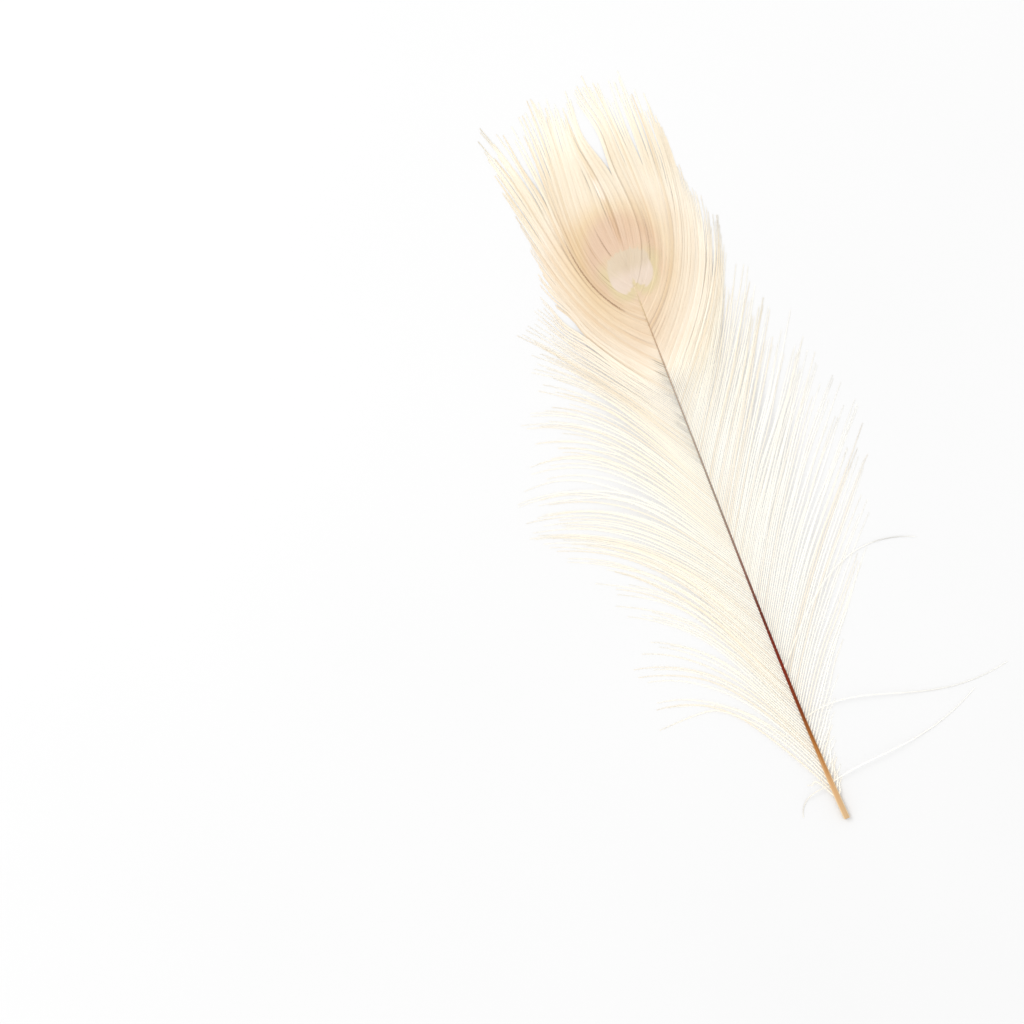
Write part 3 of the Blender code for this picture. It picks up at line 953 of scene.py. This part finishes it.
def shaft_material():
    """Horn: caramel at the cut end, red-brown above, nearly black, then olive-grey under the eye."""
    nodes = Nodes("shaft_horn")
    flat = nodes.plan()
    up_the_shaft = nodes.split(flat)[1]
    streaks = nodes.noise(nodes.vector("MULTIPLY", flat, (3.0, 0.06, 3.0)), 1.0, 4.0)
    wander = nodes.times(nodes.math("SUBTRACT", streaks, 0.5), 0.12)
    along = nodes.math("ADD", nodes.math("DIVIDE", up_the_shaft, SHAFT_END), wander)
    # Painted light: paler towards the sides of the shaft's round, fading out above the quill, for light
    # through the thin horn.
    side = nodes.step(nodes.size(nodes.attribute("across")), 0.55, 1.0)
    side = nodes.times(side, nodes.step(up_the_shaft, 60, 5))
    colour = nodes.mix(side, nodes.ramp(along, SHAFT_COLOURS), srgb(*SHAFT_SIDES_PAINTED_LIGHT))
    colour = nodes.mix(nodes.attribute("edge"), colour, srgb(*QUILL_CUT))
    nodes.join(colour, nodes.shader.inputs["Base Color"])
    nodes.join(nodes.step(streaks, -0.4, 1.9), nodes.shader.inputs["Roughness"])
    nodes.shader.inputs["Specular IOR Level"].default_value = 0.15
    nodes.join(nodes.bump(streaks, 0.4, 0.0002), nodes.shader.inputs["Normal"])
    return nodes.material


def floor_material():
    nodes = Nodes("pale_floor")
    place = nodes.tree.nodes.new("ShaderNodeTexCoord").outputs["Object"]
    grain = nodes.noise(place, 6.0, 2.0)
    colour = nodes.mix(grain, srgb(*FLOOR_DARKER), srgb(*FLOOR_LIGHTER))
    nodes.join(colour, nodes.shader.inputs["Base Color"])
    nodes.shader.inputs["Roughness"].default_value = 0.9
    nodes.shader.inputs["Specular IOR Level"].default_value = 0.1
    return nodes.material


def make_floor():
    half = FLOOR_HALF
    mesh = bpy.data.meshes.new("floor")
    corners = [(-half, -half, 0), (half, -half, 0), (half, half, 0), (-half, half, 0)]
    mesh.from_pydata(corners, [], [(0, 1, 2, 3)])
    mesh.materials.append(floor_material())
    floor = bpy.data.objects.new("floor", mesh)
    bpy.context.scene.collection.objects.link(floor)


def make_camera():
    """Straight above, turned so that the shaft runs as it does in the photograph."""
    dx, dy = NOTCH_PIXEL[0] - QUILL_PIXEL[0], NOTCH_PIXEL[1] - QUILL_PIXEL[1]
    lean = math.atan2(-dx, -dy)
    right = (math.cos(lean), -math.sin(lean))
    up = (math.sin(lean), math.cos(lean))
    from_middle = (PHOTO_SIDE / 2 - QUILL_PIXEL[0], QUILL_PIXEL[1] - PHOTO_SIDE / 2)
    x, y = (
        QUILL_END[axis] + MM_PER_PIXEL * (right[axis] * from_middle[0] + up[axis] * from_middle[1])
        for axis in (0, 1)
    )
    data = bpy.data.cameras.new("camera")
    data.sensor_width = SENSOR_MM
    data.lens = SENSOR_MM * CAMERA_HEIGHT / (PHOTO_SIDE * MM_PER_PIXEL * MM)
    data.clip_end = 20
    camera = bpy.data.objects.new("camera", data)
    axes = Matrix((
        (right[0], up[0], 0),
        (right[1], up[1], 0),
        (0, 0, 1),
    ))
    camera.matrix_world = Matrix.Translation((x * MM, y * MM, CAMERA_HEIGHT)) @ axes.to_4x4()
    bpy.context.scene.collection.objects.link(camera)
    bpy.context.scene.camera = camera


def make_light():
    world = bpy.data.worlds.new("studio")
    world.use_nodes = True
    world.node_tree.nodes["Background"].inputs["Color"].default_value = (1.0, 1.0, 1.0, 1.0)
    world.node_tree.nodes["Background"].inputs["Strength"].default_value = SKY_STRENGTH
    bpy.context.scene.world = world
    data = bpy.data.lights.new("softbox", "AREA")
    data.shape = "RECTANGLE"
    data.size, data.size_y = SOFTBOX_SIDE, SOFTBOX_SIDE
    data.energy = SOFTBOX_WATTS
    softbox = bpy.data.objects.new("softbox", data)
    softbox.location = SOFTBOX_PLACE
    aim = Vector((0, 0, 0)) - softbox.location
    softbox.rotation_euler = aim.to_track_quat("-Z", "Y").to_euler()
    bpy.context.scene.collection.objects.link(softbox)
    bpy.context.scene.view_settings.view_transform = "Standard"


make_camera()
make_light()
make_floor()
make_shaft(shaft_material())
make_vanes(barb_material())
